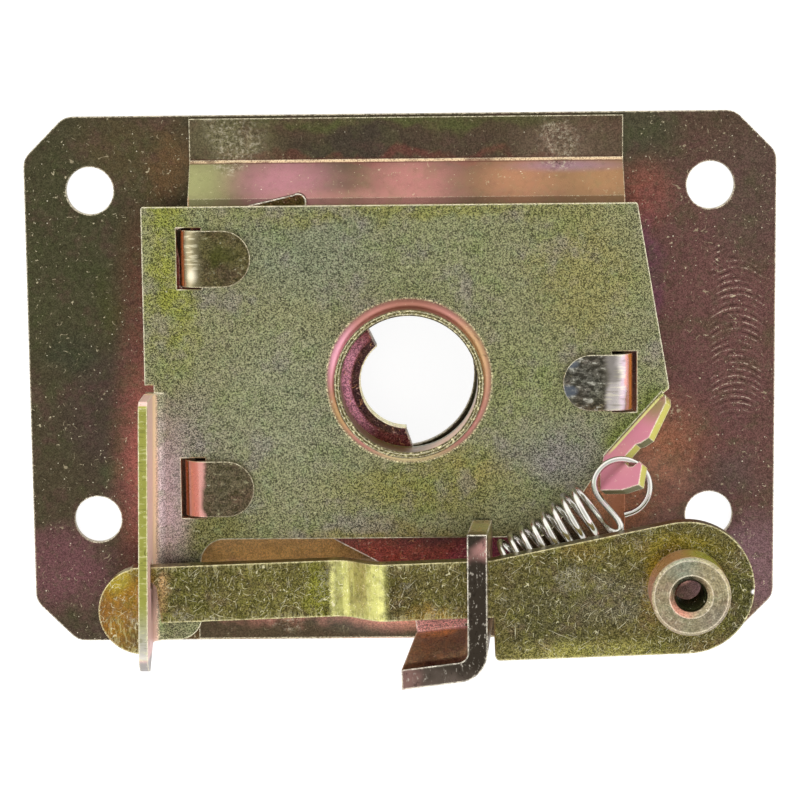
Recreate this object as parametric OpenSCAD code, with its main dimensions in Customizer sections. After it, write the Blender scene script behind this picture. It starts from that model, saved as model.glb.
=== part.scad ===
// Hood lock: a pressed steel case on a mounting plate, a pivoting latch plate that catches the neck
// of a striker pin, a release lever that swings the latch back, and a return spring.
// Millimetres. Origin: axis of the striker hole, on the back face of the mounting plate.
// +Z points out of the mounting face, +Y to the edge that the bracket is closed at.

/* [Mounting plate] */
// Width of the mounting plate
plate_w = 126; // [118:0.5:140]
// Height of the mounting plate
plate_h = 89.5; // [89.5:0.5:96]
// Thickness of the mounting plate
plate_t = 1.5; // [1.2:0.1:2.5]
// Chamfer of the plate's corners
plate_chamfer = 7; // [4:0.5:9]
// Distance from the striker axis to the plate's top edge
plate_top = 43.8; // [43.8:0.1:45]
// Spacing of the mounting holes across
hole_dx = 104; // [98:0.5:108]
// Spacing of the mounting holes up and down
hole_dy = 56; // [50:0.5:60]
// Height of the mounting pattern's centre above the striker axis
hole_cy = 3.4; // [1:0.1:5]
// Diameter of the mounting holes
hole_d = 8; // [6:0.1:9]
// Diameter of the striker hole in the mounting plate
striker_d = 24.6; // [23:0.1:26]

/* [Bracket] */
// Thickness of the bracket's and the cover's sheet
sheet_t = 1.5; // [1.2:0.1:1.8]
// Left side of the bracket, from the striker axis
bracket_left = 35; // [34.6:0.1:35.6]
// Right side of the bracket, from the striker axis
bracket_right = 37.3; // [36.8:0.1:38]
// Clear height between the mounting plate and the bracket's web
web_gap = 5.5; // [5:0.1:8]
// Top of the web, where its upper wall starts down
web_top = 29.6; // [29:0.1:30.5]
// Bottom of the web, where its lower wall starts down
web_bottom = -31; // [-32:0.1:-30]
// Run of each slanted wall, measured across
wall_run = 6; // [5:0.1:7]
// Gap between a welded flange and the plate's edge
flange_gap = 0.5; // [0.3:0.1:1.2]
// Diameter of the round hole in the web
web_hole_d = 27; // [26:0.1:29]
// Width of a clinch tab
tab_w = 9.3; // [8:0.1:10]
// Length of a clinch tab on the cover, from the tab's root
tab_reach = 11.6; // [10.8:0.1:12]
// Outer radius of a clinch tab's bend
tab_bend = 3.4; // [3:0.1:3.8]
// Diameter of a spot weld's dimple
weld_d = 6.6; // [5:0.1:7]

/* [Cover plate] */
// Left edge of the cover, from the striker axis
cover_left = 42.3; // [42:0.1:43]
// Top edge of the cover
cover_top = 29.4; // [28.5:0.1:30]
// Bottom edge of the cover
cover_bottom = -26; // [-27:0.1:-25]
// Inner diameter of the raised collar
collar_d = 22.5; // [22:0.1:23.5]
// Wall of the raised collar
collar_wall = 1; // [0.8:0.1:1.3]
// Height of the collar above the cover
collar_h = 5; // [3:0.1:6]
// Height of the ear above the cover
ear_h = 11; // [10:0.1:13]
// Lower end of the ear
ear_end = -46.7; // [-47.2:0.1:-45.8]
// Angle of the spring tab from the cover
hook_tab_angle = 55; // [48:1:58]
// Turn of the ear, seen from above
ear_turn = 1.2; // [0:0.1:1.6]

/* [Latch] */
// Thickness of the latch plate
latch_t = 3; // [2.5:0.1:3.5]
// Radius of the notch for the striker's neck
notch_r = 7.6; // [7:0.1:8]
// Free play between flat plates that slide on each other
play = 0.1; // [0.1:0.05:0.2]
// Clearance of the latch's slot round the tab it swings on
pivot_clear = 0.15; // [0.1:0.05:0.25]
// Swing of the latch from caught to released
latch_swing = 12.8; // [10:0.1:13]
// Lean of the latch's lower wall
wall_lean = 10; // [5:1:11]
// Lean of the latch's upright leg
leg_lean = 5; // [2:1:6]
// Outer radius of the corner between wall and leg
leg_corner = 4.8; // [4:0.1:5.2]
// Turn of the lower wall, seen from above
wall_turn = 6; // [4:0.5:8]

/* [Lever] */
// Thickness of the lever
lever_t = 2.8; // [2.4:0.1:3]
// Width of the lever's arm
arm_w = 9.4; // [8.6:0.1:9.8]
// Gap between the cover and the lever's low end
lever_gap = 3; // [2.6:0.1:3.4]
// Step of the lever's joggle
joggle = 5.4; // [5:0.1:6]
// Slope of the lever at rest
lever_tilt = 1.8; // [1:0.1:2.5]
// Length of the lever from its pivot to the bush
lever_reach = 88.5; // [84:0.1:92]
// Radius of the lever's end round the bush
lever_end_r = 10.9; // [10.2:0.1:11.4]
// Clearance of the lever in its windows
window_clear = 0.6; // [0.5:0.1:0.8]
// Outer diameter of the bush
boss_d = 12.8; // [11.5:0.1:14]
// Height of the bush above the lever
boss_h = 7; // [5:0.1:9]
// Core diameter of the bush's thread
boss_bore = 5; // [4.8:0.1:6]

/* [Return spring] */
// Wire diameter of the spring
wire_d = 1.1; // [1:0.05:1.2]
// Outer diameter of the coil
coil_d = 8; // [7.6:0.1:8.1]
// Turns of the coil
coil_turns = 8; // [7:1:9]

/* [Hidden] */
$fn = 48;

// Levels, from the mounting face up
flange_z = plate_t + sheet_t;
web_z = plate_t + web_gap;
latch_z = web_z + sheet_t + play;
cover_z = latch_z + latch_t + play;
deck_z = cover_z + sheet_t;
lever_z = deck_z + lever_gap;
lever_high = lever_z + joggle;
leg_z = deck_z + 0.8;
leg_top = lever_high + lever_t + 2.8;

// Mounting plate
plate_bottom = plate_top - plate_h;
corner_r = 3.2;

// Bracket: the two flanges end a little inside the plate's edges
flange_top = plate_top - flange_gap;
flange_bottom = plate_bottom + flange_gap;
bracket_w = bracket_left + bracket_right;
slot_clear = 0.4;
slot_out = 0.6;
tab_out = 1;
weld_sink = 0.2;

// Clinch tabs: the two on the left roll over to the right, the one on the right to the left
tab_top_y = 20.9;
tab_low_y = -17.3;
tab_side_y = -0.1;

// Cover: where its corners lie
cover_right = 39;
cover_tip = [44.3, -1.3];
bend_a = [34.8, -11.4];
bend_b = [43.2, -2.1];
cover_corner = [23.7, cover_bottom];
collar_at = [1.4, 0.4];
collar_r = collar_d / 2 + collar_wall;
collar_fillet = 1.2;
ear_start = -1.3;
ear_at = [-cover_left, ear_start];
ear_bend = sheet_t + 2;
ear_round = 4.5;
ear_foot = -43;
lug_low = -39;
relief = 1.3;
ear_in = -cover_left + sheet_t;
hook_y = -31.9;

// Latch: it swings on the upper left clinch tab
pivot = [-bracket_left - tab_out + sheet_t / 2, tab_top_y];
notch_at = [0.9, 0];
notch_open = 18;
tail_left = 2.2;
tail_right = 13;
wall_y = -40.8;
leg_t = latch_t + 0.2;
leg_right = 15.1;
leg_end = -22.9;
bend_in = 0.8;
corner_x = leg_right - leg_corner;
wall_left = -0.2;

// Lever: it hooks on the ear, with its notch over the ear's wall
lever_pivot = ear_at + turned([sheet_t / 2, hook_y - ear_start], -ear_turn);
arm_top = 2.4;
arm_low = arm_top - arm_w;
notch_left = -1.45;
notch_right = 1.65;
notch_flare = 0.9;
hook_r = 7.25;
hook_at = [-0.9, -4.9];
joggle_from = 31.3;
joggle_run = 8;
shoulder = 56.9;
end_drop = -3.35;
pad_low = end_drop - lever_end_r;
boss_shank_d = boss_d - 3.4;
bush_fit = 0.05;

// Spring
wire_r = wire_d / 2;
coil_r = coil_d / 2 - wire_r;
spring_z = deck_z + coil_d / 2 + 0.2;
leg_hole_d = 3.6;
leg_hole_y = -32.6;
ring_r = 4.6;
// Places on the spring: from its hole in the leg to the coil, from the spring tab to the ring, and
// from the ring back to the coil
coil_start = [4.1, 3.1, 0];
ring_off = [1.3, -5.5];
coil_end = [-5.2, -2.9, 0];
wire_sides = 8;
turn_steps = 14;

// A point turned about the origin
function turned(p, a) = [p[0] * cos(a) - p[1] * sin(a), p[0] * sin(a) + p[1] * cos(a)];
function unit(v) = v / norm(v);

// Corners given as [x, y, radius], each rounded off with a short run of points
function eased(corners, n = 4) = [
    for (i = [0:len(corners) - 1])
        let (
            q = corners[i], p = [q[0], q[1]],
            before = corners[(i + len(corners) - 1) % len(corners)],
            after = corners[(i + 1) % len(corners)],
            u = unit([before[0], before[1]] - p), v = unit([after[0], after[1]] - p),
            half = acos(u * v) / 2, c = p + unit(u + v) * q[2] / sin(half),
            from = p + u * q[2] / tan(half) - c, to = p + v * q[2] / tan(half) - c,
            w = 180 - 2 * half
        )
        for (k = [0:q[2] > 0 ? n : 0])
            q[2] > 0 ? c + (from * sin(w * (1 - k / n)) + to * sin(w * k / n)) / sin(w) : p
];

// A box given by its two corners
module block(low, high) {
    translate(low) cube(high - low);
}

// Section of a sheet's bend through a right angle, about the origin, in the quarter where both are negative
module quarter_bend(r, t) {
    intersection() {
        difference() {
            circle(r = r);
            circle(r = r - t);
        }
        translate([-r, -r]) square(r);
    }
}

module plate_outline(c) {
    x = plate_w / 2;
    top = plate_top;
    low = plate_bottom;
    r = corner_r;
    polygon(eased([
        [-x, top - c, r], [-x + c, top, r], [x - c, top, r], [x, top - c, r],
        [x, low + c, r], [x - c, low, r], [-x + c, low, r], [-x, low + c, r]
    ]));
}

module base_plate() {
    color([0.36, 0.33, 0.25])
    difference() {
        linear_extrude(plate_t) plate_outline(plate_chamfer);
        translate([0, 0, -1]) cylinder(d = striker_d, h = plate_t + 2);
        for (sx = [-1, 1], sy = [-1, 1])
            translate([sx * hole_dx / 2, hole_cy + sy * hole_dy / 2, -1])
                cylinder(d = hole_d, h = plate_t + 2);
    }
}

// The bracket's section, seen along X: flange, slanted wall, web, slanted wall, flange
module bracket_section() {
    s = sheet_t;
    top_foot = web_top + wall_run;
    low_foot = web_bottom - wall_run;
    ease = 0.7;
    polygon([
        [flange_top, plate_t], [flange_top, flange_z], [top_foot + ease, flange_z],
        [web_top + ease, web_z + s - 0.3], [web_top - ease, web_z + s],
        [web_bottom + ease, web_z + s], [web_bottom - ease, web_z + s - 0.3],
        [low_foot - ease, flange_z], [flange_bottom, flange_z], [flange_bottom, plate_t],
        [low_foot - ease + s, plate_t], [web_bottom + s / 2, web_z],
        [web_top - s / 2, web_z], [top_foot + ease - s, plate_t]
    ]);
}

// A clinch tab: it rises from a lug of the web at x = 0, and rolls over towards +X on the cover
module clinch_tab() {
    s = sheet_t;
    roll_z = deck_z + s - tab_bend;
    flat_end = tab_reach - tab_w / 2;
    translate([0, -tab_w / 2, web_z]) cube([s, tab_w, roll_z - web_z]);
    translate([0, -tab_w / 2, web_z]) cube([s + tab_out, tab_w, s]);
    translate([tab_bend, tab_w / 2, roll_z]) rotate([90, 0, 0])
        linear_extrude(tab_w) mirror([0, 1]) quarter_bend(tab_bend, s);
    translate([tab_bend, -tab_w / 2, deck_z]) cube([flat_end - tab_bend, tab_w, s]);
    translate([flat_end, 0, deck_z]) intersection() {
        cylinder(d = tab_w, h = s);
        translate([0, -tab_w, -1]) cube([tab_w, 2 * tab_w, s + 2]);
    }
}

module weld_dish() {
    cylinder(d1 = weld_d - 3, d2 = weld_d + 1, h = 2 * weld_sink);
}

module bracket() {
    color([0.62, 0.48, 0.36])
    difference() {
        union() {
            translate([-bracket_left, 0, 0]) rotate([90, 0, 90])
                linear_extrude(bracket_w) bracket_section();
            translate([-bracket_left - tab_out, tab_top_y, 0]) clinch_tab();
            translate([-bracket_left - tab_out, tab_low_y, 0]) clinch_tab();
            translate([bracket_right + tab_out, tab_side_y, 0]) rotate(180) clinch_tab();
        }
        translate([0, 0, web_z - 1]) cylinder(d = web_hole_d, h = sheet_t + 2);
        // Spot welds: shallow dishes in both flanges
        for (x = [-27.2, 27])
            translate([x, web_top + wall_run + weld_d / 2 + 0.5, flange_z - weld_sink]) weld_dish();
        for (x = [-20, 27])
            translate([x, web_bottom - wall_run - weld_d / 2 - 0.5, flange_z - weld_sink]) weld_dish();
    }
}

// The cover's flat outline, without its ear and its spring tab
module cover_outline() {
    lug_right = -33.6;
    curve_r = 4;
    difference() {
        union() {
            polygon(eased([
                [-cover_left, cover_top, 0.3], [cover_right, cover_top, 0.4],
                [cover_tip[0], cover_tip[1], 0.6], [bend_b[0], bend_b[1], 0], [bend_a[0], bend_a[1], 0], [29.2, -19.9, 0.8],
                [cover_corner[0], cover_corner[1], 3], [-cover_left, cover_bottom, 0]
            ]));
            // The lug that the ear's lower half stands on
            translate([-cover_left, lug_low]) square([cover_left + lug_right, cover_bottom - lug_low]);
            translate([lug_right - curve_r, lug_low]) circle(r = curve_r);
            translate([-cover_left, lug_low - curve_r])
                square([cover_left + lug_right - curve_r, curve_r + 1]);
            translate([lug_right - 0.01, cover_bottom - curve_r]) square([curve_r, curve_r + 1]);
        }
        translate([lug_right + curve_r, cover_bottom - curve_r]) circle(r = curve_r);
        // Relief cut where the ear's bend starts
        translate([-cover_left - 1, ear_start]) square([1 + sheet_t, relief]);
    }
}

// The ear's side, seen along X: it rises from the cover's left edge
module ear_side() {
    top = deck_z + ear_h;
    foot = cover_z + ear_bend;
    union() {
        polygon([
            [ear_start, foot], [ear_start, top - 1], [ear_start - 1, top], [ear_end + ear_round, top],
            [ear_end + ear_round, top - ear_round], [ear_end, top - ear_round], [ear_foot, foot]
        ]);
        intersection() {
            translate([ear_end + ear_round, top - ear_round]) circle(r = ear_round);
            translate([ear_end, top - ear_round]) square([ear_round, ear_round]);
        }
    }
}

// The ear is turned a little about its upper end
module in_ear() {
    translate(ear_at) rotate(-ear_turn) translate(-ear_at) children();
}

// The ear with its bend and the window that the lever's hook passes through
module ear() {
    s = sheet_t;
    win_low = hook_y - 1.1;
    win_high = hook_y + arm_top + window_clear + 0.2;
    in_ear() difference() {
        union() {
            translate([-cover_left, 0, 0]) rotate([90, 0, 90]) linear_extrude(s) ear_side();
            translate([-cover_left + ear_bend, ear_start, cover_z + ear_bend]) rotate([90, 0, 0])
                linear_extrude(ear_start - ear_foot) quarter_bend(ear_bend, s);
        }
        block([-cover_left - 1, win_low, lever_z - window_clear],
              [ear_in + 1, win_high, lever_z + lever_t + window_clear]);
    }
}

// The spring tab, folded up along the line from bend_a to bend_b
module spring_tab() {
    run = bend_b - bend_a;
    long = norm(run);
    translate([bend_a[0], bend_a[1], deck_z - sheet_t / 2])
        rotate(atan2(run[1], run[0])) rotate([-hook_tab_angle, 0, 0])
        translate([0, 0, -sheet_t / 2]) linear_extrude(sheet_t)
        polygon([
            [0, 0.9], [long, 0.9], [long + 0.1, -1.8], [long - 0.7, -2.9], [5.8, -5.5], [4.2, -4.9],
            [3.5, -4.3], [0.5, -4.3], [0.1, -4.8], [0.1, -6.6], [0.6, -7.3], [2, -7.6], [2, -8.5],
            [-0.7, -11.1], [-3.3, -9.1], [-6, -5.4], [-4, -2.6]
        ]);
}

// The raised collar round the striker's hole, turned about its axis
module collar() {
    r = collar_d / 2;
    rotate_extrude() difference() {
        polygon([
            [r, cover_z], [r, deck_z + collar_h - 0.3], [r + 0.3, deck_z + collar_h],
            [collar_r - 0.2, deck_z + collar_h], [collar_r, deck_z + collar_h - 0.2],
            [collar_r, deck_z + collar_fillet], [collar_r + collar_fillet, deck_z],
            [collar_r + collar_fillet, cover_z]
        ]);
        translate([collar_r + collar_fillet, deck_z + collar_fillet]) circle(r = collar_fillet);
    }
}

module cover_plate() {
    color([0.50, 0.51, 0.34])
    union() {
        difference() {
            translate([0, 0, cover_z]) linear_extrude(sheet_t) cover_outline();
            translate([collar_at[0], collar_at[1], cover_z - 1])
                cylinder(r = collar_r + 0.6, h = sheet_t + 2);
            for (y = [tab_top_y, tab_low_y])
                block([-bracket_left - tab_out - slot_out, y - tab_w / 2 - slot_clear, cover_z - 1],
                      [-bracket_left - tab_out + tab_bend + 0.1, y + tab_w / 2 + slot_clear, deck_z + 1]);
            block([bracket_right + tab_out - tab_bend - 0.1, tab_side_y - tab_w / 2 - slot_clear,
                   cover_z - 1],
                  [bracket_right + tab_out + slot_out, tab_side_y + tab_w / 2 + slot_clear, deck_z + 1]);
            // The flat gives way to the ear's bend
            in_ear() block([-cover_left - 2, ear_foot - 1, cover_z - 1],
                           [-cover_left + ear_bend, ear_start, deck_z + 1]);
        }
        translate([collar_at[0], collar_at[1], 0]) collar();
        ear();
        spring_tab();
    }
}

// The window in the latch that the upper left clinch tab stands in: it is as wide as the tab's sweep
module pivot_window() {
    w = sheet_t / 2 + pivot_clear;
    l = tab_w / 2 + pivot_clear;
    a = latch_swing + 1;
    lobe = [[w, 0], [w, 2 * l], turned([-w, 2 * l], a), turned([-w, 0], a)];
    translate(pivot) intersection() {
        circle(r = norm([w, l]));
        union() {
            polygon(lobe);
            polygon(-lobe);
            square([2 * w, 2 * w], center = true);
        }
    }
}

// The latch plate's flat outline, at rest
module latch_outline() {
    nose = [-16.6, 29.9];
    nose_r = 1.4;
    tip = notch_at + notch_r * [cos(129), sin(129)];
    difference() {
        union() {
            polygon(eased([
                [-38.6, 28.4, 1], [-27, 28.9, 3], [-17.2, 31.1, 0],
                [-15.2, 29.4, 0], [tip[0], tip[1], 0.4],
                [notch_at[0], notch_at[1], 0], [0.9, -8.2, 0], [3, -14, 3], [17, -21, 2], [19.2, -30, 3],
                [15.4, -36, 2], [tail_right, wall_at(tail_right) - 0.2, 0],
                [tail_left, wall_at(tail_left) - 0.2, 0], [1.6, -37, 2], [-4.2, -30.3, 3],
                [-11.3, -26.5, 2], [-22.5, -16, 3], [-29.5, -3, 3], [-38.6, 9, 2]
            ]));
            translate(nose) circle(r = nose_r);
        }
        translate(notch_at) circle(r = notch_r);
        translate(notch_at) rotate(notch_open) translate([0, -notch_r * 0.93]) square([20, notch_r * 1.86]);
        pivot_window();
    }
}

// The lower wall's foot, at a place along X: the wall is turned about its corner with the leg
function wall_at(x) = wall_y + (x - corner_x) * tan(wall_turn);

// The bent strip's outline, seen from above: a wall, a round corner and a leg along Y
module leg_outline() {
    out = leg_corner;
    past = 4 * out;
    mid = [corner_x, wall_y - bend_in - latch_t + out];
    translate(mid) rotate(wall_turn) translate([-2 * corner_x, -out]) square([2 * corner_x + 0.01, leg_t]);
    translate(mid + [out - leg_t, -0.01]) square([leg_t, leg_end - mid[1] + bend_in + latch_t]);
    translate(mid) intersection() {
        difference() {
            circle(r = out);
            circle(r = out - leg_t);
        }
        polygon([[0, 0], past * [sin(wall_turn), -cos(wall_turn)], [past, -past], [past, 0]]);
    }
}

// The tail's bend, and the strip that stands up from it with the lever's window and the spring's hole
module leg() {
    bend_z = latch_z + latch_t + bend_in;
    tall = leg_top - latch_z;
    sunk = 2 * latch_t;
    arm_mid = lever_pivot[1] + (leg_right - lever_pivot[0]) * sin(lever_tilt) + arm_top - arm_w / 2;
    bend_l = (corner_x - tail_left) / cos(wall_turn);
    difference() {
        union() {
            // Bend of the tail up into the lower wall
            translate([corner_x, wall_y, bend_z]) rotate(wall_turn) translate([-bend_l, 0, 0])
                rotate([90, 0, 90]) linear_extrude(bend_l) quarter_bend(bend_in + latch_t, latch_t);
            intersection() {
                translate([0, wall_y, latch_z + latch_t]) rotate([wall_lean, -leg_lean, 0])
                    translate([0, -wall_y, -sunk]) linear_extrude(tall + 2 * sunk) leg_outline();
                union() {
                    // The wall's left end is cut aslant
                    translate([0, wall_y + bend_in + latch_t, 0]) rotate([90, 0, 0]) linear_extrude(tall)
                        polygon([
                            [tail_left, bend_z - 0.4], [wall_left, leg_top], [leg_right - leg_t, leg_top],
                            [leg_right - leg_t, bend_z - 0.4]
                        ]);
                    block([corner_x - leg_t, wall_y - tall, leg_z], [leg_right + sunk, leg_end, leg_top]);
                }
            }
        }
        block([corner_x / 2, arm_mid - arm_w / 2 - window_clear - 0.4, lever_high - window_clear],
              [2 * leg_right, arm_mid + arm_w / 2 + window_clear + 0.2,
               lever_high + lever_t + window_clear]);
        translate([corner_x / 2, leg_hole_y, spring_z]) rotate([0, 90, 0])
            cylinder(d = leg_hole_d, h = leg_right);
    }
}

module latch() {
    color([0.48, 0.27, 0.23])
    union() {
        translate([0, 0, latch_z]) linear_extrude(latch_t) latch_outline();
        leg();
    }
}

// The lever's outline, seen from above, with its pivot at the origin and its arm along X
module lever_outline() {
    top_dir = end_drop + lever_end_r;
    notch_r = (notch_right - notch_left) / 2;
    notch_x = (notch_right + notch_left) / 2;
    difference() {
        union() {
            translate([notch_right, arm_low]) square([shoulder + 1 - notch_right, arm_w]);
            intersection() {
                translate(hook_at) circle(r = hook_r);
                translate([-20, -20]) square([20 + notch_left, 40]);
            }
            translate([notch_left - 1, -notch_r]) square([notch_right - notch_left + 2, arm_top + notch_r]);
            polygon(eased([
                [shoulder, pad_low, 0.8], [lever_reach, pad_low, 0],
                [lever_reach, top_dir, 0], [lever_reach - 2, top_dir - 0.1, 0], [shoulder, arm_top, 0]
            ]));
            translate([lever_reach, end_drop]) circle(r = lever_end_r, $fn = 96);
        }
        translate([notch_x, -notch_r]) circle(r = notch_r);
        polygon([
            [notch_left, -notch_r], [notch_left, -20],
            [notch_right + 2 * notch_flare, -20], [notch_right, -notch_r]
        ]);
        translate([lever_reach, end_drop]) circle(d = boss_shank_d + 2 * bush_fit);
    }
}

// The lever's edge, seen along Y: low end, joggle, high end
module lever_edge() {
    steps = 8;
    ramp = [for (i = [0:steps])
        [joggle_from + joggle_run * i / steps, joggle * (1 - cos(180 * i / steps)) / 2]];
    over = [for (p = ramp) p + [0, lever_t]];
    far = lever_reach + lever_end_r + 5;
    polygon(concat(
        [[-20, 0]], ramp, [[far, joggle], [far, joggle + lever_t]],
        [for (i = [steps:-1:0]) over[i]], [[-20, lever_t]]
    ));
}

module place_lever() {
    translate([lever_pivot[0], lever_pivot[1], lever_z]) rotate(lever_tilt) children();
}

module lever() {
    color([0.45, 0.42, 0.22])
    place_lever() intersection() {
        translate([0, 0, -1]) linear_extrude(joggle + lever_t + 2) lever_outline();
        translate([0, 40, 0]) rotate([90, 0, 0]) linear_extrude(80) lever_edge();
    }
}

// The threaded bush: its shank sits in the lever's hole, its collar on the lever
module lever_boss() {
    r = boss_d / 2;
    b = boss_bore / 2;
    c = 0.5;
    sink = 1;
    color([0.66, 0.62, 0.48])
    place_lever() translate([lever_reach, end_drop, joggle]) rotate_extrude() polygon([
        [b, 0], [boss_shank_d / 2, 0], [boss_shank_d / 2, lever_t], [r, lever_t],
        [r, lever_t + boss_h - c], [r - c, lever_t + boss_h], [b + sink, lever_t + boss_h],
        [b, lever_t + boss_h - sink]
    ]);
}

// Next normal of a swept wire, kept square to the new direction
function carry(n, t) = unit(n - t * (n * t));

// A round wire swept along points
module wire(points) {
    last = len(points) - 1;
    dirs = [for (i = [0:last]) unit(points[min(i + 1, last)] - points[max(i - 1, 0)])];
    norms = [for (i = 0, n = carry([0, 0, 1], dirs[0]); i <= last;
                  i = i + 1, n = carry(n, dirs[min(i, last)])) n];
    verts = [for (i = [0:last], j = [0:wire_sides - 1])
        let (a = 360 * j / wire_sides, side = cross(dirs[i], norms[i]))
        points[i] + wire_r * (cos(a) * norms[i] + sin(a) * side)];
    skin = [for (i = [0:last - 1], j = [0:wire_sides - 1])
        let (k = (j + 1) % wire_sides)
        [i * wire_sides + j, i * wire_sides + k, (i + 1) * wire_sides + k, (i + 1) * wire_sides + j]];
    ends = [[for (j = [wire_sides - 1:-1:0]) j], [for (j = [0:wire_sides - 1]) last * wire_sides + j]];
    polyhedron(verts, concat(skin, ends));
}

module return_spring() {
    // The hook's place in the leg, the coil's two ends and the ring's centre, round the spring tab
    hole = [leg_right - (spring_z - latch_z - latch_t) * tan(leg_lean) - leg_t / 2, leg_hole_y, spring_z];
    start = hole + coil_start;
    ring_at = [bend_a[0] + ring_off[0], bend_a[1] + ring_off[1], spring_z];
    finish = ring_at + coil_end;
    axis = unit(finish - start);
    side = [-axis[1], axis[0], 0];
    steps = coil_turns * turn_steps;
    hook = [
        hole + [-2.6, 2.6, 0], hole + [-3, 1.5, 0], hole + [-2.6, 0.5, 0], hole + [-1.5, 0, 0],
        hole + [1.5, 0, 0], start - axis * 0.6 - side * (coil_r - 0.6)
    ];
    coil = [for (i = [0:steps])
        let (a = -90 + 360 * i / turn_steps)
        start + (finish - start) * i / steps + coil_r * (cos(a) * [0, 0, 1] + sin(a) * side)];
    turn = [finish - side * (coil_r + 0.6) + axis * 0.8, finish - side * (coil_r - 0.3) + axis * 1.7];
    ring = [for (a = [212:-18:-76]) ring_at + ring_r * [cos(a), sin(a), 0]];
    color([0.74, 0.73, 0.70]) wire(concat(hook, coil, turn, ring));
}

base_plate();
bracket();
cover_plate();
latch();
lever();
lever_boss();
return_spring();
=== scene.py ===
"""Looks of a pressed steel hood lock in yellow zinc plate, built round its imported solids."""
import math
from functools import reduce

import bpy
from mathutils import Matrix, Vector


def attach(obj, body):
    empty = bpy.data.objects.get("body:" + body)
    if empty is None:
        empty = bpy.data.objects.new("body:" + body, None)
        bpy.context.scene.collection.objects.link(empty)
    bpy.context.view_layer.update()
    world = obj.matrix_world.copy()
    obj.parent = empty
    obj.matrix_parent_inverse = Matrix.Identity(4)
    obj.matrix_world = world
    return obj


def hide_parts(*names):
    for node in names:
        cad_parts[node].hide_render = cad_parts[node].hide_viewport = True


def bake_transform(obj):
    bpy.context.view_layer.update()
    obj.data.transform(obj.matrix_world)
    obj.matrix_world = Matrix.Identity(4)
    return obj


MM = 0.001

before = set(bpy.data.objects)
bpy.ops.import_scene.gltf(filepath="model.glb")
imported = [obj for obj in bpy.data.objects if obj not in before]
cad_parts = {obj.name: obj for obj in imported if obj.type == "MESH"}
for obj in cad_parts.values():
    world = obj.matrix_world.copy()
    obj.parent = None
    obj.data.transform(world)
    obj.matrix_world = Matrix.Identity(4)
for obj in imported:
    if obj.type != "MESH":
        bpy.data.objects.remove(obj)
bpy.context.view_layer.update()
scene = bpy.context.scene
scene.view_settings.view_transform = "Standard"


def top_of(node_name):
    """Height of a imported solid's highest point over the back of the plate, in millimetres."""
    return max(vertex.co.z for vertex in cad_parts[node_name].data.vertices) / MM


PLATE_TOP = top_of("base_plate")
EAR_TOP = top_of("cover_plate")
LEG_TOP = top_of("latch")
BUSH_TOP = top_of("lever_boss")
# Heights of faces between them, in millimetres
LATCH_TOP = 11.6
COVER_UNDER = 11.7
COVER_TOP = 13.2
COLLAR_TOP = 18.2
# Upright axes and radii of round features, in millimetres
COLLAR_AXIS = (1.4, 0.4)
COLLAR_BORE_R = 11.25
COLLAR_R = 12.25
COLLAR_FOOT_R = 13.45
NOTCH_AXIS = (0.9, 0.0)
NOTCH_R = 7.6
BUSH_AXIS = (46.371, -32.477)
BUSH_BORE_R = 2.5
BUSH_R = 6.4
# Share of the metal's shine that a dull patch loses
DULLED = 0.75

# Camera: above the plate's upper edge, looking slightly down the lock
EYE = Vector((6.0, 62.0, 466.0)) * MM
LOOK_AT = Vector((-0.3, -4.5, 1.5)) * MM
ROLL = math.radians(-0.62)
SENSOR = 36.0
VIEW_PIXELS = 800
FOCAL_PIXELS = 2771

camera_data = bpy.data.cameras.new("camera")
camera_data.sensor_width = SENSOR
camera_data.lens = SENSOR * FOCAL_PIXELS / VIEW_PIXELS
camera_data.clip_end = 10
camera = bpy.data.objects.new("camera", camera_data)
scene.collection.objects.link(camera)
camera.location = EYE
sight = (LOOK_AT - EYE).normalized()
camera_right = sight.cross(Vector((0, 1, 0))).normalized()
camera_up = camera_right.cross(sight)
camera.rotation_mode = "QUATERNION"
camera.rotation_quaternion = (
    Matrix((camera_right, camera_up, -sight)).transposed() @ Matrix.Rotation(ROLL, 3, "Z")
).to_quaternion()
scene.camera = camera


def linear(hex_colour):
    """Linear RGBA of an sRGB hex colour."""
    channels = [int(hex_colour[i:i + 2], 16) / 255 for i in (0, 2, 4)]
    return (*[c / 12.92 if c <= 0.04045 else ((c + 0.055) / 1.055) ** 2.4 for c in channels], 1)


def add(tree, kind, settings=None, inputs=None):
    """Adds a node. settings are its properties; inputs are its sockets' values, or sockets linked to them."""
    node = tree.nodes.new(kind)
    for key, value in (settings or {}).items():
        setattr(node, key, value)
    for key, value in (inputs or {}).items():
        if isinstance(value, bpy.types.NodeSocket):
            tree.links.new(value, node.inputs[key])
        else:
            node.inputs[key].default_value = value
    return node


def calculate(tree, operation, a, b, clamp=False):
    """A maths node's result."""
    return add(tree, "ShaderNodeMath", {"operation": operation, "use_clamp": clamp}, {0: a, 1: b}).outputs[0]


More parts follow.
